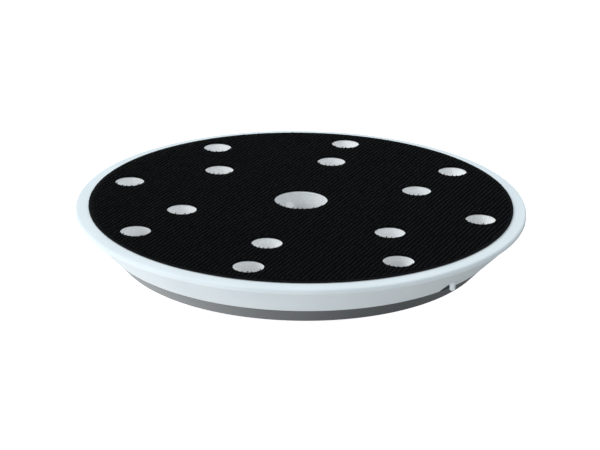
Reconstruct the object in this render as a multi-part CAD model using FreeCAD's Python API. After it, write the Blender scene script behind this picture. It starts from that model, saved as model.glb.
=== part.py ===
"""Backing pad of an orbital sander: a round multi-hole pad that holds hook-and-loop abrasive discs.

Millimetres, +Z up. The origin is the centre of the hub's rear face, which the pad lies on, and the
hooked working face looks up. The hole pattern is symmetrical about +X.
"""
import FreeCAD, Part
import math
import os

Vector = FreeCAD.Vector
UP = Vector(0, 0, 1)
AXIS_FOOT = Vector(0, 0, 0)

# ---- working face and rim ----
pad_diameter = 148.0        # over the widest part of the foam rim
rim_width = 4.2             # bare foam between the hooked facing and the rim's edge
facing_thickness = 0.85     # cloth and hooks together
adhesive_thickness = 0.15
foam_thickness = 11.0       # foam rim, from its flat top to the support plate
rim_edge_height = 1.8       # upright band at the rim's edge
rim_edge_round = 0.7
rim_step = 0.35             # the flank starts this far inside the upright band
flank_inset = 9.0           # how far the foam narrows from the rim's edge to the plate

# ---- dust holes ----
dust_hole_diameter = 9.9
outer_hole_count = 8
outer_hole_inset = 9.8      # from the facing's edge to the outer hole centres
inner_hole_count = 6
ring_spacing = 20.0         # from the outer hole centres in to the inner ones
outer_hole_lean = 0.5       # inward travel of an outer hole for each millimetre of depth
centre_hole_diameter = 17.5
centre_step_depth = 0.8     # the hole is a little wider below this lip
centre_step_width = 0.25

# ---- support plate ----
plate_rim_height = 5.4
plate_rim_taper = 4.8       # how far the plate's edge narrows over that height
plate_rim_wall = 2.2
plate_rim_round = 1.0
inner_fillet = 1.0
hub_edge_round = 0.8
web_thickness = 3.0
hub_drop = 10.0             # hub's rear face below the plate's edge
hub_diameter = 54.0
hub_draft = 1.5             # the hub is this much wider, in radius, where it meets the web
hub_wall = 4.5
well_depth = 2.5            # shallow well in the plate's top, filled by the foam
well_inset = 3.0            # well's edge inside the hub's outer face
rib_thickness = 2.0
rib_clearance = 0.4         # a low rib stops this far inside the plate's rear edge
gusset_reach = 13.0         # how far the tall part of a rib runs out from the hub
gusset_gap = 3.0            # the tall part of a rib stops this far above the hub's rear face

# ---- drive plate, bushing and rivets ----
drive_plate_thickness = 3.5
drive_plate_clearance = 0.2
drive_hex_across_flats = 22.0
bushing_length = 6.0        # seat to spindle face, flange included
bushing_flange_gap = 0.5    # between the flange and the foam's hole, all round
bushing_flange_thickness = 1.5
bushing_wall = 1.7
rivet_count = 6
rivet_diameter = 4.0
rivet_hole_clearance = 0.1
rivet_head_diameter = 6.8
rivet_head_height = 1.6
rivet_tail_height = 1.0
rivet_tail_taper = 0.75     # closed end's top, as a share of its foot
rivet_tail_depth = 1.2      # pocket for the closed end, below the well's floor

# ---- retaining screw and its washers ----
thread_diameter = 8.0
thread_clearance = 0.3      # all round the thread, in the bushing
thread_gap = 0.5            # the thread's upper end stays this far below the bushing
waist_diameter = 7.0        # thinner shank above the thread, which keeps the washers captive
waist_clearance = 0.3       # all round the waist, in the washers
screw_end_recess = 0.5      # the screw's end stays this far inside the hub's rear face
screw_head_step = 1.0       # screw's head inside the flat washer's edge
screw_head_height = 5.0
screw_socket_across_flats = 5.0
screw_socket_depth = 2.8
screw_chamfer = 0.8
screw_head_round = 0.6
washer_clearance = 0.3      # from the flat washer to the key in the centre hole
flat_washer_thickness = 1.6
spring_washer_step = 0.15   # spring washer's edge inside the screw's head
spring_washer_thickness = 2.0
spring_washer_gap = 1.2
spring_washer_slant = 20.0  # degrees from upright

# ---- half-round notch in the foam's lower edge, with the plate's locating tab behind it ----
notch_angle = 238.5
notch_radius = 2.7
tab_thickness = 4.0
tab_setback = 0.4           # tab's outer face inside the plate's top edge
pip_diameter = 1.9          # short stub of foam that hangs in the notch
pip_offset = 1.8            # pip's axis outside the plate's top edge
pip_lateral = 1.1
pip_drop = 0.1              # pip's end below the foam's lower edge

# ---- rounded key on the wall of the centre hole ----
key_angle = 42.0
key_radius = 2.7
key_depth = 1.2             # how far it stands into the hole
key_top_below_foam = 3.2

# ---- heights ----
plate_edge_z = hub_drop
foam_bottom_z = plate_edge_z + plate_rim_height
foam_top_z = foam_bottom_z + foam_thickness
facing_bottom_z = foam_top_z + adhesive_thickness
facing_top_z = facing_bottom_z + facing_thickness
web_bottom_z = foam_bottom_z - web_thickness
well_z = foam_bottom_z - well_depth
bushing_end_z = well_z - bushing_length
drive_plate_rear_z = bushing_end_z - drive_plate_thickness
flat_washer_top_z = well_z + flat_washer_thickness
head_seat_z = flat_washer_top_z + spring_washer_thickness
head_top_z = head_seat_z + screw_head_height
screw_end_z = screw_end_recess
thread_top_z = bushing_end_z - thread_gap

# ---- radii ----
rim_r = pad_diameter / 2
facing_r = rim_r - rim_width
plate_top_r = rim_r - flank_inset
plate_edge_r = plate_top_r - plate_rim_taper
plate_slope = plate_rim_taper / plate_rim_height
hole_r = dust_hole_diameter / 2
outer_ring_r = facing_r - outer_hole_inset
inner_ring_r = outer_ring_r - ring_spacing
centre_r = centre_hole_diameter / 2
hub_r = hub_diameter / 2
hub_bore_r = hub_r - hub_wall
hub_root_r = hub_r + hub_draft
well_r = hub_r - well_inset
thread_r = thread_diameter / 2
bore_r = thread_r + thread_clearance
waist_r = waist_diameter / 2
washer_bore_r = waist_r + waist_clearance
bushing_r = bore_r + bushing_wall
bushing_flange_r = centre_r - bushing_flange_gap
rivet_r = rivet_diameter / 2
rivet_hole_r = rivet_r + rivet_hole_clearance
rivet_head_r = rivet_head_diameter / 2
rivet_circle_r = (drive_hex_across_flats / 2 + hub_bore_r) / 2
flat_washer_r = centre_r - key_depth - washer_clearance
screw_head_r = flat_washer_r - screw_head_step
spring_washer_r = screw_head_r - spring_washer_step
tab_face_r = plate_top_r - tab_setback

margin = 1.0                # how far a cutter runs past the face that it cuts


def polar(radius, degrees, z=0.0):
    """The point at a radius and an angle round the pad's axis."""
    angle = math.radians(degrees)
    return Vector(radius * math.cos(angle), radius * math.sin(angle), z)


def spread(count, start=0.0):
    """Evenly spaced angles round a full turn, in degrees."""
    return [start + 360.0 * i / count for i in range(count)]


def outline(points):
    """A closed wire in the XZ plane through (radius, z) corners; (radius, z, round) rounds one off."""
    edges = []
    corners = [Vector(p[0], 0, p[1]) for p in points]
    rounds = [p[2] if len(p) > 2 else 0.0 for p in points]
    joins = []
    for i, corner in enumerate(corners):
        to_last = (corners[i - 1] - corner).normalize()
        to_next = (corners[(i + 1) % len(corners)] - corner).normalize()
        if not rounds[i]:
            joins.append((corner, None, corner))
            continue
        half = to_last.getAngle(to_next) / 2
        reach = rounds[i] / math.tan(half)
        middle = (to_last + to_next).normalize()
        deepest = corner + middle * (rounds[i] / math.sin(half) - rounds[i])
        joins.append((corner + to_last * reach, deepest, corner + to_next * reach))
    for i, (begin, deepest, end) in enumerate(joins):
        if deepest:
            edges.append(Part.Arc(begin, deepest, end).toShape())
        following = joins[(i + 1) % len(joins)][0]
        if end.distanceToPoint(following) > 1e-6:
            edges.append(Part.LineSegment(end, following).toShape())
    return Part.Wire(edges)


def turned(points):
    """The solid that an outline sweeps round the pad's axis."""
    return Part.Face(outline(points)).revolve(AXIS_FOOT, UP, 360)


def disc(radius, bottom, top, centre=(0.0, 0.0)):
    return Part.makeCylinder(radius, top - bottom, Vector(centre[0], centre[1], bottom))


def washer(outer_r, inner_r, bottom, top):
    return disc(outer_r, bottom, top).cut(disc(inner_r, bottom - margin, top + margin))


def hexagon(across_flats, bottom, top, start=30.0):
    """An upright hexagonal prism; with start 30 a flat faces +X."""
    corner_r = across_flats / 2 / math.cos(math.radians(30))
    corners = [polar(corner_r, angle, bottom) for angle in spread(6, start)]
    return Part.Face(Part.makePolygon(corners + corners[:1])).extrude(Vector(0, 0, top - bottom))


def leaning_hole(angle, bottom, top):
    """An outer dust hole: its level sections are round, and move inward with depth in the foam."""
    sections = []
    for z in (bottom, top):
        centre = polar(outer_ring_r - (foam_top_z - z) * outer_hole_lean, angle, z)
        sections.append(Part.Wire(Part.makeCircle(hole_r, centre, UP)))
    return Part.makeLoft(sections, True, True)


def upright_holes(ring_r, count, bottom, top):
    holes = []
    for angle in spread(count):
        spot = polar(ring_r, angle)
        holes.append(disc(hole_r, bottom, top, (spot.x, spot.y)))
    return holes


def face_holes(bottom, top):
    """The holes of the facing and its adhesive: every one is upright."""
    holes = [disc(centre_r, bottom, top)]
    holes += upright_holes(outer_ring_r, outer_hole_count, bottom, top)
    holes += upright_holes(inner_ring_r, inner_hole_count, bottom, top)
    return holes


def dust_holes(bottom, top):
    """The holes of the foam and the plate: the outer ones lean towards the hub."""
    holes = [leaning_hole(angle, bottom, top) for angle in spread(outer_hole_count)]
    return holes + upright_holes(inner_ring_r, inner_hole_count, bottom, top)


def hook_facing():
    sheet = disc(facing_r, facing_bottom_z, facing_top_z)
    return sheet.cut(face_holes(facing_bottom_z - margin, facing_top_z + margin))


def facing_adhesive():
    sheet = disc(facing_r, foam_top_z, facing_bottom_z)
    return sheet.cut(face_holes(foam_top_z - margin, facing_bottom_z + margin))


def notch_bar(inner_r, outer_r):
    """A half-round bar, flat on the foam's lower edge, that runs radially between two radii."""
    left = Vector(inner_r, -notch_radius, foam_bottom_z)
    crown = Vector(inner_r, 0, foam_bottom_z + notch_radius)
    right = Vector(inner_r, notch_radius, foam_bottom_z)
    edges = [Part.Arc(left, crown, right).toShape(), Part.LineSegment(right, left).toShape()]
    bar = Part.Face(Part.Wire(edges)).extrude(Vector(outer_r - inner_r, 0, 0))
    bar.rotate(AXIS_FOOT, UP, notch_angle)
    return bar


def foam_pip():
    """The stub of foam in the notch, from the foam above it to just below the foam's lower edge."""
    centre = polar(plate_top_r + pip_offset, notch_angle) + polar(pip_lateral, notch_angle + 90)
    bottom = foam_bottom_z - pip_drop
    return disc(pip_diameter / 2, bottom, foam_bottom_z + notch_radius + margin, (centre.x, centre.y))


def centre_key():
    """The rounded key on the centre hole's wall, with a round top."""
    offset = centre_r - key_depth + key_radius
    rise = math.sqrt(key_radius ** 2 - (offset - centre_r) ** 2)
    ball_z = foam_top_z - key_top_below_foam - rise
    spot = polar(offset, key_angle)
    post = disc(key_radius, well_z, ball_z, (spot.x, spot.y))
    ball = Part.makeSphere(key_radius, Vector(spot.x, spot.y, ball_z))
    return post.fuse(ball)


def foam_pad():
    flank_top_z = foam_top_z - rim_edge_height
    lip_z = foam_top_z - centre_step_depth
    body = turned([
        (centre_r + centre_step_width, well_z),
        (well_r, well_z),
        (well_r, foam_bottom_z),
        (plate_top_r, foam_bottom_z),
        (rim_r - rim_step, flank_top_z),
        (rim_r, flank_top_z, rim_step / 2),
        (rim_r, foam_top_z, rim_edge_round),
        (centre_r, foam_top_z),
        (centre_r, lip_z),
        (centre_r + centre_step_width, lip_z),
    ])
    body = body.cut(dust_holes(foam_bottom_z - margin, foam_top_z))
    body = body.cut(notch_bar(tab_face_r - tab_thickness, rim_r + margin))
    return body.fuse([centre_key(), foam_pip()]).removeSplitter()


def rib(angle):
    """A rear rib: low over the web, rising to a gusset against the hub."""
    inner = hub_r - hub_wall / 2
    outer = plate_edge_r - plate_rim_wall / 2
    low_z = plate_edge_z + rib_clearance
    corners = [
        Vector(inner, 0, web_bottom_z + web_thickness / 2),
        Vector(inner, 0, gusset_gap),
        Vector(hub_r + margin, 0, gusset_gap),
        Vector(hub_r + gusset_reach, 0, low_z),
        Vector(outer, 0, low_z),
        Vector(outer, 0, web_bottom_z + web_thickness / 2),
    ]
    face = Part.Face(Part.makePolygon(corners + corners[:1]))
    blade = face.extrude(Vector(0, rib_thickness, 0))
    blade.translate(Vector(0, -rib_thickness / 2, 0))
    blade.rotate(AXIS_FOOT, UP, angle)
    return blade


def rib_angles():
    """The ribs stand between neighbouring holes: two in each quarter, mirrored."""
    outer_step = 360.0 / outer_hole_count
    inner_step = 360.0 / inner_hole_count
    quarter = [outer_step / 2, (inner_step + 2 * outer_step) / 2]
    return [sign * angle + turn for angle in quarter for turn in (0, 180) for sign in (1, -1)]


def rivet_spots():
    return [polar(rivet_circle_r, angle) for angle in spread(rivet_count)]


def support_plate():
    inner_edge_r = plate_edge_r - plate_rim_wall
    inner_root_r = inner_edge_r + (web_bottom_z - plate_edge_z) * plate_slope
    flange_floor_z = well_z - bushing_flange_thickness
    body = turned([
        (bushing_r, flange_floor_z),
        (bushing_r, bushing_end_z),
        (hub_bore_r, bushing_end_z),
        (hub_bore_r, 0, hub_edge_round),
        (hub_r, 0, hub_edge_round),
        (hub_root_r, web_bottom_z, inner_fillet),
        (inner_root_r, web_bottom_z, inner_fillet),
        (inner_edge_r, plate_edge_z, inner_fillet / 2),
        (plate_edge_r, plate_edge_z, plate_rim_round),
        (plate_top_r, foam_bottom_z),
        (well_r, foam_bottom_z),
        (well_r, well_z),
        (bushing_flange_r, well_z),
        (bushing_flange_r, flange_floor_z),
    ])
    body = body.fuse([rib(angle) for angle in rib_angles()])
    body = body.cut(disc(hub_bore_r, -margin, bushing_end_z))
    body = body.cut(dust_holes(-margin, foam_bottom_z + margin))
    for spot in rivet_spots():
        shank = disc(rivet_hole_r, -margin, well_z + margin, (spot.x, spot.y))
        pocket = disc(rivet_head_r, well_z - rivet_tail_depth, well_z + margin, (spot.x, spot.y))
        body = body.cut([shank, pocket])
    return body.fuse(notch_bar(tab_face_r - tab_thickness, tab_face_r)).removeSplitter()


def drive_plate():
    body = disc(hub_bore_r - drive_plate_clearance, drive_plate_rear_z, bushing_end_z)
    below, above = drive_plate_rear_z - margin, bushing_end_z + margin
    cutters = [hexagon(drive_hex_across_flats, below, above)]
    for spot in rivet_spots():
        cutters.append(disc(rivet_hole_r, below, above, (spot.x, spot.y)))
    return body.cut(cutters)


def centre_bushing():
    flange_floor_z = well_z - bushing_flange_thickness
    flange = disc(bushing_flange_r, flange_floor_z, well_z)
    sleeve = disc(bushing_r, bushing_end_z, flange_floor_z)
    bore = disc(bore_r, bushing_end_z - margin, well_z + margin)
    return flange.fuse(sleeve).removeSplitter().cut(bore)


def rivet(spot):
    """One rivet: a domed head under the drive plate, a shank, and a closed end in its pocket."""
    place = (spot.x, spot.y)
    head_bottom_z = drive_plate_rear_z - rivet_head_height
    tail_floor_z = well_z - rivet_tail_depth
    dome_r = (rivet_head_r ** 2 + rivet_head_height ** 2) / (2 * rivet_head_height)
    dome = Part.makeSphere(dome_r, Vector(spot.x, spot.y, head_bottom_z + dome_r))
    head = dome.common(disc(rivet_head_r + margin, head_bottom_z - margin, drive_plate_rear_z, place))
    shank = disc(rivet_r, drive_plate_rear_z, tail_floor_z, place)
    tail_foot = Vector(spot.x, spot.y, tail_floor_z)
    tail_r = rivet_head_r - rivet_hole_clearance
    tail = Part.makeCone(tail_r, tail_r * rivet_tail_taper, rivet_tail_height, tail_foot)
    return head.fuse([shank, tail]).removeSplitter()


def flat_washer():
    return washer(flat_washer_r, washer_bore_r, well_z, flat_washer_top_z)


def spring_washer():
    ring = washer(spring_washer_r, washer_bore_r, flat_washer_top_z, head_seat_z)
    middle_z = (flat_washer_top_z + head_seat_z) / 2
    slit_height = 3 * spring_washer_thickness
    slit = Part.makeBox(spring_washer_r + margin, spring_washer_gap, slit_height)
    slit.translate(Vector(0, -spring_washer_gap / 2, middle_z - slit_height / 2))
    slit.rotate(Vector(0, 0, middle_z), Vector(1, 0, 0), spring_washer_slant)
    return ring.cut(slit)


def retaining_screw():
    body = turned([
        (0, screw_end_z),
        (thread_r - screw_chamfer, screw_end_z),
        (thread_r, screw_end_z + screw_chamfer),
        (thread_r, thread_top_z),
        (waist_r, thread_top_z),
        (waist_r, head_seat_z),
        (screw_head_r, head_seat_z, screw_head_round / 2),
        (screw_head_r, head_top_z, screw_head_round),
        (0, head_top_z),
    ])
    socket_floor_z = head_top_z - screw_socket_depth
    return body.cut(hexagon(screw_socket_across_flats, socket_floor_z, head_top_z + margin))


def build():
    parts = {
        "hook_facing": hook_facing(),
        "facing_adhesive": facing_adhesive(),
        "foam_pad": foam_pad(),
        "support_plate": support_plate(),
        "drive_plate": drive_plate(),
        "centre_bushing": centre_bushing(),
        "flat_washer": flat_washer(),
        "spring_washer": spring_washer(),
        "retaining_screw": retaining_screw(),
    }
    for number, spot in enumerate(rivet_spots(), start=1):
        parts[f"rivet_{number}"] = rivet(spot)
    return parts


def export(parts):
    os.makedirs("parts", exist_ok=True)
    for name, shape in parts.items():
        solids = shape.Solids
        print(name, "solids", len(solids), "valid", shape.isValid(), "volume %.1f" % shape.Volume)
        whole = solids[0] if len(solids) == 1 else Part.makeCompound(solids)
        whole.exportStep(f"parts/{name}.step")


export(build())
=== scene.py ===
import math
import random

import bmesh
import bpy
from mathutils import Matrix, Vector, noise


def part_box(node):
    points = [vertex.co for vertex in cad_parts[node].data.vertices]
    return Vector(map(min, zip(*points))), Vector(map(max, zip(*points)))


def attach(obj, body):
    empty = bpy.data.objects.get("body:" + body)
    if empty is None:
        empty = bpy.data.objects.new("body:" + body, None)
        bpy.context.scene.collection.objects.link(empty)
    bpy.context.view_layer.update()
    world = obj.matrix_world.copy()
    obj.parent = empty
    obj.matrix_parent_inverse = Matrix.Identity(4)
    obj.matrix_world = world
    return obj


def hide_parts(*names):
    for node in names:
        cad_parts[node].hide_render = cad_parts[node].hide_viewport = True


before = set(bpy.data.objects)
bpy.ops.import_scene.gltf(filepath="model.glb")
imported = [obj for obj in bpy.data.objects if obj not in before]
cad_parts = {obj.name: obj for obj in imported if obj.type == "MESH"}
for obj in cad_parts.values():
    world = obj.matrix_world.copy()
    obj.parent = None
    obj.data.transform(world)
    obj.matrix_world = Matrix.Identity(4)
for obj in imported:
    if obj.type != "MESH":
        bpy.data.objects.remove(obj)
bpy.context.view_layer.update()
random.seed(8)

MM = 0.001
UP = Vector((0, 0, 1))

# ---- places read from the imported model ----
foam_low, foam_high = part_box("foam_pad")
cloth_low, cloth_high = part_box("hook_facing")
plate_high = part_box("support_plate")[1]
screw_low, screw_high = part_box("retaining_screw")
spring_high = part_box("spring_washer")[1]

# ---- foam body ----
rim_radius = foam_high.y
cloth_radius = cloth_high.x
tab_height = 2.7 * MM                       # the plate's tab stands this far above the foam's lower edge
foam_bottom = plate_high.z - tab_height
flank_foot_radius = 65.0 * MM
flank_top_inset = 0.35 * MM
upright_band = 1.8 * MM
rim_round = 0.7 * MM
foot_round = 0.3 * MM                       # at the flank's lower edge
well_radius = 24.0 * MM
bore_radius = 8.75 * MM
bore_step = 0.25 * MM
bore_lip = 0.8 * MM
lip_round = 0.12 * MM
turn_steps = 240

# ---- dust holes ----
hole_radius = 4.95 * MM
outer_ring_radius = 60.0 * MM
inner_ring_radius = 40.0 * MM
outer_angles = [math.radians(45 * i) for i in range(8)]
inner_angles = [math.radians(60 * i) for i in range(6)]
hole_lean = 0.5
mouth_round = 0.3 * MM

# ---- notch, stub and key ----
notch_angle = math.radians(238.5)
notch_radius = 2.55 * MM
notch_stretch = 1.35                        # the notch's height over its half width
notch_start = 60.3 * MM                     # the notch's inner end, from the pad's axis
notch_length = 14 * MM
stub_radius = 0.9 * MM
stub_out = 2.3 * MM
stub_aside = 1.0 * MM
stub_foot = 0.4 * MM                        # the stub's end above the foam's lower edge
stub_round = 0.5 * MM
key_angle = math.radians(42.0)
key_radius = 2.7 * MM
key_stand = 1.2 * MM
key_drop = 3.7 * MM

# ---- hook cloth ----
base_thickness = 0.36 * MM
bare_edge = 1.0 * MM                        # flattened edge of the cloth, without hooks
row_pitch = 1.43 * MM
row_angle = math.radians(-10.5)
hook_pitch = 1.05 * MM
hook_wire = 0.14 * MM
hook_bend = 0.17 * MM
hook_stem = 0.24 * MM
hook_piece_count = 3


def at(radius, angle, z=0.0):
    return Vector((radius * math.cos(angle), radius * math.sin(angle), z))


def round_solid(points, steps):
    """The closed solid that a closed outline of (radius, height) points makes when it is spun."""
    bm = bmesh.new()
    corners = [bm.verts.new((r, 0, z)) for r, z in points]
    sides = [bm.edges.new(pair) for pair in zip(corners, corners[1:] + corners[:1])]
    full_turn = 2 * math.pi
    geom = corners + sides
    bmesh.ops.spin(bm, geom=geom, axis=UP, cent=(0, 0, 0), angle=full_turn, steps=steps, use_merge=True)
    bmesh.ops.recalc_face_normals(bm, faces=bm.faces)
    return bm


def rod(radius, low, high, segments, lean_top=Vector((0, 0, 0))):
    """An upright round rod between two points; lean_top slides its upper end."""
    bm = bmesh.new()
    depth = high.z - low.z
    bmesh.ops.create_cone(
        bm, cap_ends=True, segments=segments, radius1=radius, radius2=radius, depth=depth,
        matrix=Matrix.Translation((low.x, low.y, low.z + depth / 2)),
    )
    top = [v for v in bm.verts if v.co.z > low.z + depth / 2]
    bmesh.ops.translate(bm, vec=lean_top, verts=top)
    return bm


def loose(name, bm):
    """A helper object from a bmesh, which is used up."""
    mesh = bpy.data.meshes.new(name)
    bm.to_mesh(mesh)
    bm.free()
    obj = bpy.data.objects.new(name, mesh)
    bpy.context.scene.collection.objects.link(obj)
    return obj


def settled(obj):
    """The bmesh of an object with its modifiers applied; the object is used up."""
    bpy.context.view_layer.update()
    graph = bpy.context.evaluated_depsgraph_get()
    mesh = bpy.data.meshes.new_from_object(obj.evaluated_get(graph))
    bm = bmesh.new()
    bm.from_mesh(mesh)
    bpy.data.meshes.remove(mesh)
    bpy.data.objects.remove(obj)
    return bm


def combined(bm, tools, operation):
    """The bmesh after a boolean with each tool bmesh."""
    body = loose("body", bm)
    helpers = [loose("tool", tool) for tool in tools]
    for helper in helpers:
        step = body.modifiers.new("combine", "BOOLEAN")
        step.operation = operation
        step.solver = "EXACT"
        step.object = helper
    result = settled(body)
    for helper in helpers:
        bpy.data.objects.remove(helper)
    return result


def rounded(bm, edges, size, segments=5):
    """Rounds the edges over."""
    bmesh.ops.bevel(bm, geom=edges, offset=size, segments=segments, affect="EDGES", profile=0.5, material=-1)


def shade(bm, limit):
    """Smooth faces, with edges sharper than the limit kept crisp."""
    for face in bm.faces:
        face.smooth = True
    for edge in bm.edges:
        edge.smooth = len(edge.link_faces) == 2 and edge.calc_face_angle(0) < limit


def finish_piece(name, bm, finish, body, stands_for=(), limit=math.radians(35)):
    """A finished piece: its mesh in place, riding on its body, with its material."""
    shade(bm, limit)
    mesh = bpy.data.meshes.new(name)
    bm.to_mesh(mesh)
    bm.free()
    mesh.materials.append(finish)
    obj = bpy.data.objects.new(name, mesh)
    bpy.context.scene.collection.objects.link(obj)
    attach(obj, body)
    if stands_for:
        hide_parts(*stands_for)
    return obj


# ---- materials ----

def new_finish(name):
    """A material, its node tree and its shader."""
    finish = bpy.data.materials.new(name)
    finish.use_nodes = True
    tree = finish.node_tree
    return finish, tree, tree.nodes["Principled BSDF"]


def add(tree, kind, settings=(), **values):
    """A node with its settings, and its sockets' values or links; underscores stand for spaces."""
    made = tree.nodes.new(kind)
    for key, value in dict(settings).items():
        setattr(made, key, value)
    for key, value in values.items():
        socket = made.inputs[key.replace("_", " ")]
        if isinstance(value, bpy.types.NodeSocket):
            tree.links.new(value, socket)
        else:
            socket.default_value = value
    return made


def places(tree, turn=0.0, stretch=(1, 1, 1)):
    """Object coordinates, turned about the vertical and stretched."""
    source = add(tree, "ShaderNodeTexCoord")
    spot = source.outputs["Object"]
    mapping = add(tree, "ShaderNodeMapping", Vector=spot, Rotation=(0, 0, turn), Scale=stretch)
    return mapping.outputs["Vector"]


def speckle(tree, where, scale, detail=2.0, roughness=0.5):
    made = add(tree, "ShaderNodeTexNoise", Vector=where, Scale=scale, Detail=detail, Roughness=roughness)
    return made.outputs["Fac"]


def stripes(tree, where, scale, direction, distortion=0.0):
    settings = {"wave_type": "BANDS", "bands_direction": direction, "wave_profile": "SIN"}
    bend = {"Distortion": distortion, "Detail": 1.0}
    made = add(tree, "ShaderNodeTexWave", settings, Vector=where, Scale=scale, **bend)
    return made.outputs["Fac"]


def span(tree, value, low, high, start=0.0, end=1.0):
    made = add(tree, "ShaderNodeMapRange", Value=value, From_Min=start, From_Max=end, To_Min=low, To_Max=high)
    return made.outputs["Result"]


def tones(tree, value, first, second, start=0.0, end=1.0):
    """A colour between two tones."""
    ramp = tree.nodes.new("ShaderNodeValToRGB")
    ramp.color_ramp.elements[0].position = start
    ramp.color_ramp.elements[1].position = end
    ramp.color_ramp.elements[0].color = (*first, 1)
    ramp.color_ramp.elements[1].color = (*second, 1)
    tree.links.new(value, ramp.inputs["Fac"])
    return ramp.outputs["Color"]


def relief(tree, height, distance, strength, under=None):
    made = add(tree, "ShaderNodeBump", Height=height, Distance=distance, Strength=strength)
    if under:
        tree.links.new(under, made.inputs["Normal"])
    return made.outputs["Normal"]


def axis_distance(tree):
    """Distance from the pad's axis."""
    flat = add(tree, "ShaderNodeVectorMath", {"operation": "LENGTH"}, Vector=places(tree, stretch=(1, 1, 0)))
    return flat.outputs["Value"]


def worked(tree, operation, *values):
    """The result of a Math node."""
    made = add(tree, "ShaderNodeMath", {"operation": operation})
    for socket, value in zip(made.inputs, values):
        if isinstance(value, bpy.types.NodeSocket):
            tree.links.new(value, socket)
        else:
            socket.default_value = value
    return made.outputs[0]


def blended(tree, factor, first, second):
    made = add(tree, "ShaderNodeMix", {"data_type": "RGBA"})
    tree.links.new(factor, made.inputs[0])
    tree.links.new(first, made.inputs[6])
    tree.links.new(second, made.inputs[7])
    return made.outputs[2]


def moulded_foam():
    """Pale polyurethane foam: a bluish moulded skin with faint flow marks, and neutral cut hole walls whose
    lighter tone is partly the cut foam and partly painted light in the holes.
    """
    finish, tree, shader = new_finish("moulded_foam")
    where = places(tree)
    cloud = speckle(tree, where, 45, 3)
    pores = speckle(tree, where, 2600, 2, 0.6)
    cells = speckle(tree, where, 1500, 3, 0.7)
    flow = stripes(tree, places(tree, stretch=(0.05, 0.05, 1)), 260, "Z", 3.0)
    height = add(tree, "ShaderNodeSeparateXYZ", Vector=where).outputs["Z"]
    reach = axis_distance(tree)
    flank = worked(tree, "SUBTRACT", reach, height)
    edge = flank_foot_radius - foam_bottom
    behind_flank = span(tree, flank, 1.0, 0.0, edge - 3 * MM, edge - 2 * MM)
    under_cloth = span(tree, reach, 1.0, 0.0, cloth_radius - 0.6 * MM, cloth_radius - 0.2 * MM)
    # the mask of the cut hole and bore walls: it carries their cell bump, and their tone, which is lighter
    # partly as painted light in the holes
    cut = worked(tree, "MULTIPLY", behind_flank, under_cloth)
    skin = relief(tree, pores, 0.06 * MM, 0.35)
    skin = relief(tree, flow, 0.05 * MM, 0.3, skin)
    skin = relief(tree, worked(tree, "MULTIPLY", cells, cut), 0.25 * MM, 0.5, skin)
    tree.links.new(relief(tree, cloud, 0.4 * MM, 0.15, skin), shader.inputs["Normal"])
    skin_tone = tones(tree, cloud, (0.750, 0.790, 0.805), (0.810, 0.845, 0.860), 0.3, 0.7)
    # the cut walls' tone: neutral cut foam, made much lighter than the skin as painted light standing in for
    # light reaching into the holes
    cut_foam_and_painted_light_tone = tones(tree, cells, (0.86, 0.855, 0.85), (0.97, 0.96, 0.955), 0.3, 0.65)
    tree.links.new(blended(tree, cut, skin_tone, cut_foam_and_painted_light_tone), shader.inputs["Base Color"])
    tree.links.new(span(tree, pores, 0.5, 0.68, 0.3, 0.7), shader.inputs["Roughness"])
    shader.inputs["Subsurface Weight"].default_value = 0.12
    shader.inputs["Subsurface Radius"].default_value = (0.8, 0.9, 1.0)
    shader.inputs["Subsurface Scale"].default_value = 1.2 * MM
    shader.inputs["Specular IOR Level"].default_value = 0.3
    return finish


def hook_base_cloth():
    """The black ground cloth: a tight plain weave, with the rows' ridges."""
    finish, tree, shader = new_finish("black_ground_cloth")
    where = places(tree, turn=-row_angle)
    warp = stripes(tree, where, 520, "Y")
    weft = stripes(tree, where, 700, "X", 1.0)
    lint = speckle(tree, where, 900, 3)
    weave = worked(tree, "MULTIPLY", warp, weft)
    tree.links.new(relief(tree, weave, 0.12 * MM, 0.8), shader.inputs["Normal"])
    inner_tone = tones(tree, lint, (0.0010, 0.0011, 0.0012), (0.0035, 0.0037, 0.0039), 0.3, 0.75)
    edge_tone = tones(tree, lint, (0.004, 0.0043, 0.0045), (0.012, 0.0125, 0.013), 0.3, 0.75)
    inset = cloth_radius - bare_edge
    flattened = span(tree, axis_distance(tree), 0.0, 1.0, inset - 0.2 * MM, inset + 0.2 * MM)
    tree.links.new(blended(tree, flattened, inner_tone, edge_tone), shader.inputs["Base Color"])
    tree.links.new(span(tree, lint, 0.7, 0.9), shader.inputs["Roughness"])
    shader.inputs["Specular IOR Level"].default_value = 0.015
    return finish


def hook_nylon():
    """Black nylon hooks: dark, with a slight gloss that varies from hook to hook."""
    finish, tree, shader = new_finish("black_hook_nylon")
    where = places(tree)
    patches = speckle(tree, where, 420, 1)
    tone = tones(tree, patches, (0.0015, 0.0015, 0.0015), (0.0105, 0.0105, 0.0102), 0.35, 0.7)
    tree.links.new(tone, shader.inputs["Base Color"])
    tree.links.new(span(tree, patches, 0.35, 0.55), shader.inputs["Roughness"])
    tree.links.new(relief(tree, speckle(tree, where, 5200, 2), 0.02 * MM, 0.4), shader.inputs["Normal"])
    shader.inputs["Specular IOR Level"].default_value = 0.14
    return finish


def glue_film():
    """Dried contact glue, slightly cloudy."""
    finish, tree, shader = new_finish("dried_glue")
    cloud = speckle(tree, places(tree), 300, 3)
    tone = tones(tree, cloud, (0.30, 0.31, 0.31), (0.42, 0.43, 0.43))
    tree.links.new(tone, shader.inputs["Base Color"])
    tree.links.new(span(tree, cloud, 0.3, 0.5), shader.inputs["Roughness"])
    tree.links.new(relief(tree, cloud, 0.1 * MM, 0.5), shader.inputs["Normal"])
    return finish


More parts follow.
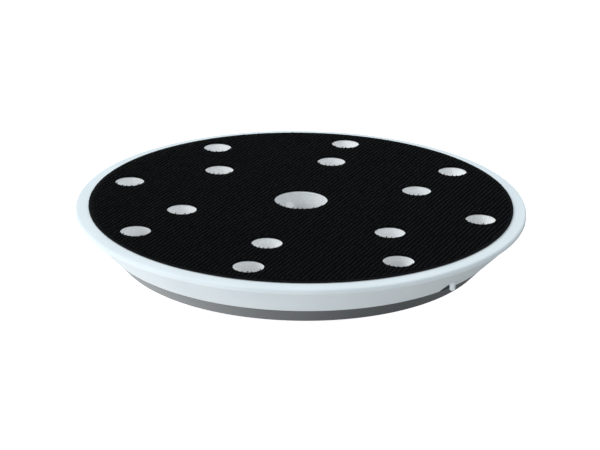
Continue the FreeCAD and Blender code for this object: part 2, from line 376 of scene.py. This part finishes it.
def filled_nylon():
    """Grey glass-filled nylon: satin, with short fibre flecks and a fine moulded grain."""
    finish, tree, shader = new_finish("grey_filled_nylon")
    where = places(tree)
    grain = speckle(tree, where, 3200, 3)
    fleck = speckle(tree, places(tree, stretch=(1, 5, 1)), 900, 2)
    cloud = speckle(tree, where, 30, 2)
    skin = relief(tree, grain, 0.04 * MM, 0.5)
    tree.links.new(relief(tree, fleck, 0.03 * MM, 0.3, skin), shader.inputs["Normal"])
    blend = worked(tree, "MULTIPLY_ADD", fleck, 0.6, cloud)
    tone = tones(tree, blend, (0.065, 0.068, 0.069), (0.098, 0.102, 0.103), 0.5, 1.1)
    tree.links.new(tone, shader.inputs["Base Color"])
    tree.links.new(span(tree, grain, 0.32, 0.44), shader.inputs["Roughness"])
    return finish


def stamped_steel():
    """Plain rolled steel: grey, with fine rolling lines and a little mottling."""
    finish, tree, shader = new_finish("stamped_steel")
    lines = speckle(tree, places(tree, stretch=(1, 30, 1)), 300, 4)
    mottle = speckle(tree, places(tree), 220, 3)
    tone = tones(tree, mottle, (0.36, 0.36, 0.36), (0.50, 0.50, 0.49), 0.3, 0.7)
    tree.links.new(tone, shader.inputs["Base Color"])
    tree.links.new(span(tree, lines, 0.28, 0.46), shader.inputs["Roughness"])
    tree.links.new(relief(tree, lines, 0.03 * MM, 0.4), shader.inputs["Normal"])
    shader.inputs["Metallic"].default_value = 1.0
    return finish


def zinc_plate():
    """Bright zinc on turned steel, with fine rings and a bluish cast."""
    finish, tree, shader = new_finish("zinc_plate")
    settings = {"wave_type": "RINGS", "rings_direction": "Z"}
    where = places(tree)
    rings = add(tree, "ShaderNodeTexWave", settings, Vector=where, Scale=1500, Distortion=2.0, Detail=2.0)
    mottle = speckle(tree, where, 600, 3)
    tone = tones(tree, mottle, (0.52, 0.55, 0.58), (0.66, 0.68, 0.69), 0.3, 0.7)
    tree.links.new(tone, shader.inputs["Base Color"])
    tree.links.new(span(tree, mottle, 0.24, 0.38), shader.inputs["Roughness"])
    tree.links.new(relief(tree, rings.outputs["Fac"], 0.015 * MM, 0.3), shader.inputs["Normal"])
    shader.inputs["Metallic"].default_value = 1.0
    return finish


foam_finish = moulded_foam()
cloth_finish = hook_base_cloth()
hook_finish = hook_nylon()
glue_finish = glue_film()
plate_finish = filled_nylon()
steel_finish = stamped_steel()
zinc_finish = zinc_plate()


# ---- foam ----

def foam_key():
    """The rounded key on the wall of the centre hole."""
    spot = at(bore_radius - key_stand + key_radius, key_angle)
    rise = math.sqrt(key_radius ** 2 - (key_radius - key_stand) ** 2)
    centre_height = foam_high.z - key_drop - rise
    foot = Vector((spot.x, spot.y, foam_low.z))
    post = rod(key_radius, foot, Vector((spot.x, spot.y, centre_height)), 48)
    post.faces.ensure_lookup_table()
    top = [f for f in post.faces if f.normal.z > 0.9]
    bmesh.ops.delete(post, geom=top, context="FACES")
    rings = 12
    for i in range(rings):
        turn = math.pi / 2 * (i + 1) / rings
        edge = [e for e in post.edges if e.is_boundary]
        grown = bmesh.ops.extrude_edge_only(post, edges=edge)["geom"]
        verts = [g for g in grown if isinstance(g, bmesh.types.BMVert)]
        last = math.cos(math.pi / 2 * i / rings)
        scale = max(math.cos(turn), 0.02) / last
        lift = key_radius * (math.sin(turn) - math.sin(math.pi / 2 * i / rings))
        bmesh.ops.translate(post, vec=(0, 0, lift), verts=verts)
        centre = Matrix.Translation((-spot.x, -spot.y, 0))
        bmesh.ops.scale(post, vec=(scale, scale, 1), verts=verts, space=centre)
    bmesh.ops.holes_fill(post, edges=[e for e in post.edges if e.is_boundary], sides=0)
    bmesh.ops.recalc_face_normals(post, faces=post.faces)
    return post


def foam_stub():
    """The stub of foam in the notch, with a rounded end."""
    spot = at(flank_foot_radius + stub_out, notch_angle) + at(stub_aside, notch_angle + math.pi / 2)
    foot = Vector((spot.x, spot.y, foam_bottom + stub_foot))
    crown = foam_bottom + notch_radius * notch_stretch
    stub = rod(stub_radius, foot, Vector((spot.x, spot.y, crown + 1 * MM)), 32)
    end = [e for e in stub.edges if all(v.co.z < foot.z + 0.1 * MM for v in e.verts)]
    rounded(stub, end, stub_round, 4)
    return stub


def hole_tools(low, high, lean, radius):
    """Rods for every dust hole; the outer ones lean inward as they go down."""
    tools = []
    for angle in inner_angles:
        tools.append(rod(radius, at(inner_ring_radius, angle, low), at(inner_ring_radius, angle, high), 96))
    for angle in outer_angles:
        shift = (high - foam_high.z) * lean
        depth = (high - low) * lean
        top = at(outer_ring_radius + shift, angle, high)
        foot = at(outer_ring_radius + shift - depth, angle, low)
        slide = Vector((top.x - foot.x, top.y - foot.y, 0))
        tools.append(rod(radius, foot, Vector((foot.x, foot.y, high)), 96, slide))
    return tools


def foam_body():
    lip = foam_high.z - bore_lip
    band = foam_high.z - upright_band
    wide = bore_radius + bore_step
    bm = round_solid([
        (wide, foam_low.z),
        (well_radius, foam_low.z),
        (well_radius, foam_bottom),
        (flank_foot_radius, foam_bottom),
        (rim_radius - flank_top_inset, band),
        (rim_radius, band),
        (rim_radius, foam_high.z),
        (bore_radius, foam_high.z),
        (bore_radius, lip),
        (wide, lip),
    ], turn_steps)
    near = 0.02 * MM

    def ring(radius, height):
        def on(v):
            return abs(v.co.xy.length - radius) < near and abs(v.co.z - height) < near
        return [e for e in bm.edges if on(e.verts[0]) and on(e.verts[1])]

    for edges, size in (
        (ring(rim_radius, foam_high.z), rim_round),
        (ring(rim_radius, band), flank_top_inset / 2),
        (ring(flank_foot_radius, foam_bottom), foot_round),
        (ring(bore_radius, foam_high.z), mouth_round),
        (ring(bore_radius, lip), lip_round),
    ):
        rounded(bm, edges, size)
    low = foam_bottom - 1 * MM
    tools = hole_tools(low, foam_high.z + 1 * MM, hole_lean, hole_radius)
    notch = rod(notch_radius, Vector((0, 0, 0)), Vector((0, 0, notch_length)), 48)
    lay = Matrix.Scale(notch_stretch, 4, UP) @ Matrix.Rotation(math.pi / 2, 4, "Y")
    start = Matrix.Translation(at(notch_start, notch_angle, foam_bottom))
    place = start @ Matrix.Rotation(notch_angle, 4, "Z")
    bmesh.ops.transform(notch, matrix=place @ lay, verts=notch.verts)
    bm = combined(bm, tools + [notch], "DIFFERENCE")
    mouths = [
        e for e in bm.edges
        if len(e.link_faces) == 2 and e.calc_face_angle(0) > 0.6
        and all(abs(v.co.z - foam_high.z) < near for v in e.verts)
        and all(bore_radius * 2 < v.co.xy.length < rim_radius - 2 * MM for v in e.verts)
    ]
    rounded(bm, mouths, mouth_round, 3)
    return combined(bm, [foam_key(), foam_stub()], "UNION")


foam = finish_piece("foam_body", foam_body(), foam_finish, "pad", ["foam_pad"])


# ---- hook cloth ----

def ground_cloth():
    low = cloth_low.z
    high = low + base_thickness
    bm = bmesh.new()
    bmesh.ops.create_circle(bm, cap_ends=True, segments=540, radius=cloth_radius - 0.1 * MM)
    bmesh.ops.translate(bm, vec=(0, 0, low), verts=bm.verts)
    for v in bm.verts:
        fray = noise.noise(v.co * 900) * 0.1 * MM
        v.co.xy *= 1 + fray / cloth_radius
    face = bm.faces[:]
    grown = bmesh.ops.extrude_face_region(bm, geom=face)["geom"]
    lifted = [g for g in grown if isinstance(g, bmesh.types.BMVert)]
    bmesh.ops.translate(bm, vec=(0, 0, high - low), verts=lifted)
    bmesh.ops.recalc_face_normals(bm, faces=bm.faces)
    tools = hole_tools(low - 1 * MM, high + 1 * MM, 0, hole_radius - 0.1 * MM)
    tools.append(rod(bore_radius, Vector((0, 0, low - 1 * MM)), Vector((0, 0, high + 1 * MM)), 160))
    return combined(bm, tools, "DIFFERENCE")


def one_hook():
    """One hook: a square nylon wire that stands up and bends over, with its foot at the origin."""
    bm = bmesh.new()
    bmesh.ops.create_circle(bm, cap_ends=True, segments=4, radius=hook_wire)
    foot = bm.faces[:]
    grown = bmesh.ops.extrude_face_region(bm, geom=foot)["geom"]
    tip = [g for g in grown if isinstance(g, bmesh.types.BMFace)]
    lifted = [g for g in grown if isinstance(g, bmesh.types.BMVert)]
    bmesh.ops.translate(bm, vec=(0, 0, hook_stem), verts=lifted)
    bmesh.ops.delete(bm, geom=tip, context="FACES_ONLY")
    rim = [e for e in bm.edges if all(v in lifted for v in e.verts)]
    bmesh.ops.spin(
        bm, geom=rim + lifted, axis=(0, 1, 0), cent=(hook_bend, 0, hook_stem),
        angle=math.radians(195), steps=5, use_merge=False,
    )
    bmesh.ops.remove_doubles(bm, verts=bm.verts, dist=0.001 * MM)
    bmesh.ops.holes_fill(bm, edges=[e for e in bm.edges if e.is_boundary], sides=0)
    bmesh.ops.recalc_face_normals(bm, faces=bm.faces)
    return bm


def stands_on_cloth(spot):
    """True where a hook's foot is on cloth: inside the edge and outside every hole."""
    clear = hole_radius - 0.05 * MM
    if spot.length > cloth_radius - bare_edge or spot.length < bore_radius + 0.05 * MM:
        return False
    for angles, ring in ((inner_angles, inner_ring_radius), (outer_angles, outer_ring_radius)):
        for angle in angles:
            if (spot - at(ring, angle).xy).length < clear:
                return False
    return True


def hook_rows(first_row, last_row, columns):
    """A band of hook rows: a grid of hooks, thinned to the cloth, each a little uneven."""
    template = loose("hooks", one_hook())
    count = len(template.data.vertices)
    for size, step in ((columns, (hook_pitch, 0, 0)), (last_row - first_row, (0, row_pitch, 0))):
        row = template.modifiers.new("rows", "ARRAY")
        row.use_relative_offset = False
        row.use_constant_offset = True
        row.constant_offset_displace = step
        row.count = size
    bm = settled(template)
    bm.verts.ensure_lookup_table()
    turn = Matrix.Rotation(row_angle, 3, "Z")
    surplus = []
    for index in range(0, len(bm.verts), count):
        group = bm.verts[index:index + count]
        number = index // count
        column, line = number % columns, number // columns
        foot = Vector((column * hook_pitch, line * row_pitch, 0))
        row_number = first_row + line
        stagger = (0.5 if row_number % 2 else 0.0) + 0.3 * noise.noise((row_number * 0.7, 3.1, 0))
        jitter = Vector((random.uniform(-1, 1), random.uniform(-1, 1), 0)) * 0.07 * MM
        place = Vector(((column - columns / 2 + stagger) * hook_pitch, row_number * row_pitch, 0)) + jitter
        place = turn @ place
        if not stands_on_cloth(place.xy):
            surplus.extend(group)
            continue
        side = 0 if row_number % 2 else math.pi
        twist = Matrix.Rotation(row_angle + side + random.gauss(0, 0.22), 3, "Z")
        aside = Matrix.Rotation(random.gauss(0, 0.1), 3, "X")
        tilt = aside @ Matrix.Rotation(random.gauss(0.05, 0.1), 3, "Y")
        rise = random.uniform(0.9, 1.03)
        place.z = cloth_low.z + base_thickness - 0.05 * MM
        for v in group:
            local = v.co - foot
            local.z *= rise
            v.co = place + twist @ (tilt @ local)
    bmesh.ops.delete(bm, geom=surplus, context="VERTS")
    high = cloth_high.z - 0.005 * MM
    for v in bm.verts:
        v.co.z = min(v.co.z, high)
    return bm


cloth = finish_piece("ground_cloth", ground_cloth(), cloth_finish, "pad", ["hook_facing"])
columns = int(2 * cloth_radius / hook_pitch) + 4
half_rows = int(cloth_radius / row_pitch) + 1
bands = [-half_rows + round(2 * half_rows * i / hook_piece_count) for i in range(hook_piece_count + 1)]
for number, (first_row, last_row) in enumerate(zip(bands, bands[1:]), start=1):
    bm = hook_rows(first_row, last_row, columns)
    band = finish_piece(f"hooks_{number}", bm, hook_finish, "pad", limit=math.radians(60))


# ---- retaining screw ----

def thread(low, high, radius, pitch):
    """A helical thread, cut flat at both ends."""
    thread_depth = 0.61 * pitch
    root = radius - thread_depth
    outline = [
        (root, 0),
        (root, pitch * 0.125),
        (radius, pitch * 0.5),
        (radius, pitch * 0.625),
        (root, pitch),
    ]
    bm = bmesh.new()
    points = [bm.verts.new((r, 0, z)) for r, z in outline]
    sides = [bm.edges.new(pair) for pair in zip(points, points[1:])]
    turns = int((high - low) / pitch) + 3
    steps = 32
    rise = Vector((0, 0, pitch / steps))
    bmesh.ops.spin(
        bm, geom=points + sides, axis=UP, cent=(0, 0, 0), dvec=rise,
        angle=2 * math.pi * turns, steps=steps * turns, use_merge=False,
    )
    bmesh.ops.remove_doubles(bm, verts=bm.verts, dist=0.002 * MM)
    bmesh.ops.translate(bm, vec=(0, 0, low - 1.5 * pitch), verts=bm.verts)
    for height, side in ((low, -1), (high, 1)):
        geom = bm.verts[:] + bm.edges[:] + bm.faces[:]
        cut = {"plane_co": (0, 0, height), "plane_no": (0, 0, side), "clear_outer": True}
        bmesh.ops.bisect_plane(bm, geom=geom, dist=1e-7, **cut)
    bmesh.ops.holes_fill(bm, edges=[e for e in bm.edges if e.is_boundary], sides=0)
    bmesh.ops.recalc_face_normals(bm, faces=bm.faces)
    return bm


def screw():
    thread_top = 6.4 * MM
    thread_radius = 4.0 * MM
    thread_pitch = 1.25 * MM
    waist_radius = 3.5 * MM
    waist_foot = thread_top - 0.3 * MM
    head_radius = screw_high.x
    head_round = 0.45 * MM
    socket_half_width = 2.5 * MM
    socket_depth = 2.8 * MM
    axis = 0.0001 * MM
    seat = spring_high.z
    top = screw_high.z
    body = round_solid([
        (axis, waist_foot),
        (waist_radius, waist_foot),
        (waist_radius, seat),
        (head_radius, seat),
        (head_radius, top),
        (axis, top),
    ], 96)
    bmesh.ops.remove_doubles(body, verts=body.verts, dist=0.001 * MM)
    rims = [
        e for e in body.edges
        if all(abs(v.co.xy.length - head_radius) < 0.01 * MM for v in e.verts)
        and abs(e.verts[0].co.z - e.verts[1].co.z) < 0.01 * MM
    ]
    rounded(body, rims, head_round, 4)
    socket_radius = socket_half_width / math.cos(math.radians(30))
    socket = rod(socket_radius, Vector((0, 0, top - socket_depth)), Vector((0, 0, top + 1 * MM)), 6)
    body = combined(body, [socket], "DIFFERENCE")
    spiral = thread(screw_low.z, thread_top, thread_radius, thread_pitch)
    mesh = bpy.data.meshes.new("thread")
    spiral.to_mesh(mesh)
    spiral.free()
    body.from_mesh(mesh)
    bpy.data.meshes.remove(mesh)
    return body


finish_piece("threaded_screw", screw(), zinc_finish, "screw", ["retaining_screw"])


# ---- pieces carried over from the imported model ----

carried = {"support_plate": plate_finish, "facing_adhesive": glue_finish, "drive_plate": steel_finish}
for name in ("centre_bushing", "flat_washer", "spring_washer"):
    carried[name] = zinc_finish
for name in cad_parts:
    if name.startswith("rivet"):
        carried[name] = steel_finish
for name, finish in carried.items():
    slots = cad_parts[name].data.materials
    slots.clear()
    slots.append(finish)


# ---- floor, light and camera ----

def studio_light(tree):
    """Soft light from all round: cool above, and below it bright on the key's side and dark on the other."""
    where = add(tree, "ShaderNodeTexCoord").outputs["Generated"]
    height = add(tree, "ShaderNodeSeparateXYZ", Vector=where).outputs["Z"]
    turn = add(tree, "ShaderNodeVectorMath", {"operation": "DOT_PRODUCT"})
    tree.links.new(where, turn.inputs[0])
    turn.inputs[1].default_value = (-0.259, 0.966, 0)
    side = turn.outputs["Value"]
    below = span(tree, height, 1.0, 0.0, -0.4, 0.05)
    strength = add(tree, "ShaderNodeMix", {"data_type": "FLOAT"})
    tree.links.new(below, strength.inputs[0])
    tree.links.new(span(tree, side, 0.62, 0.92, -1.0, 1.0), strength.inputs[2])
    tree.links.new(span(tree, side, 0.2, 1.7, -0.25, 0.4), strength.inputs[3])
    tone = tones(tree, below, (0.90, 1.0, 1.06), (0.96, 1.0, 1.02))
    light = add(tree, "ShaderNodeBackground", Color=tone, Strength=strength.outputs[0])
    return light.outputs[0]


def studio():
    bm = bmesh.new()
    bmesh.ops.create_grid(bm, x_segments=1, y_segments=1, size=6.0)
    floor = loose("floor", bm)
    finish, tree, shader = new_finish("pale_floor")
    shader.inputs["Base Color"].default_value = (0.92, 0.92, 0.92, 1)
    shader.inputs["Roughness"].default_value = 0.9
    shader.inputs["Emission Color"].default_value = (1, 1, 1, 1)
    shader.inputs["Emission Strength"].default_value = 0.9
    floor.data.materials.append(finish)
    floor.visible_diffuse = False
    floor.visible_glossy = False

    world = bpy.data.worlds.new("studio")
    bpy.context.scene.world = world
    world.use_nodes = True
    tree = world.node_tree
    white = add(tree, "ShaderNodeBackground", Color=(1, 1, 1, 1), Strength=1.0)
    seen = add(tree, "ShaderNodeLightPath").outputs["Is Camera Ray"]
    blend = add(tree, "ShaderNodeMixShader", Fac=seen)
    tree.links.new(studio_light(tree), blend.inputs[1])
    tree.links.new(white.outputs[0], blend.inputs[2])
    tree.links.new(blend.outputs[0], tree.nodes["World Output"].inputs["Surface"])

    for name, place, size, power in (
        ("key_light", (-1.0, 1.9, 1.7), 1.3, 25.0),
        ("fill_light", (-0.5, -0.9, 0.9), 0.9, 1.5),
    ):
        lamp = bpy.data.lights.new(name, "AREA")
        lamp.size = size
        lamp.energy = power
        obj = bpy.data.objects.new(name, lamp)
        obj.location = place
        obj.rotation_euler = (Vector((0, 0, 0)) - Vector(place)).to_track_quat("-Z", "Y").to_euler()
        bpy.context.scene.collection.objects.link(obj)


def camera():
    lens = bpy.data.cameras.new("camera")
    lens.sensor_width = 36
    lens.lens = 112.96
    eye = bpy.data.objects.new("camera", lens)
    bpy.context.scene.collection.objects.link(eye)
    round_pad = Matrix.Rotation(math.radians(-74.9), 4, "Z")
    spot = Matrix.Translation((0, -0.58185, 0.24445))
    pan = Matrix.Rotation(math.radians(0.024), 4, "Z")
    pitch = Matrix.Rotation(math.radians(90 - 21.276), 4, "X")
    roll = Matrix.Rotation(math.radians(0.755), 4, "Z")
    eye.matrix_world = round_pad @ spot @ pan @ pitch @ roll
    bpy.context.scene.camera = eye


studio()
camera()
bpy.context.scene.view_settings.view_transform = "Standard"
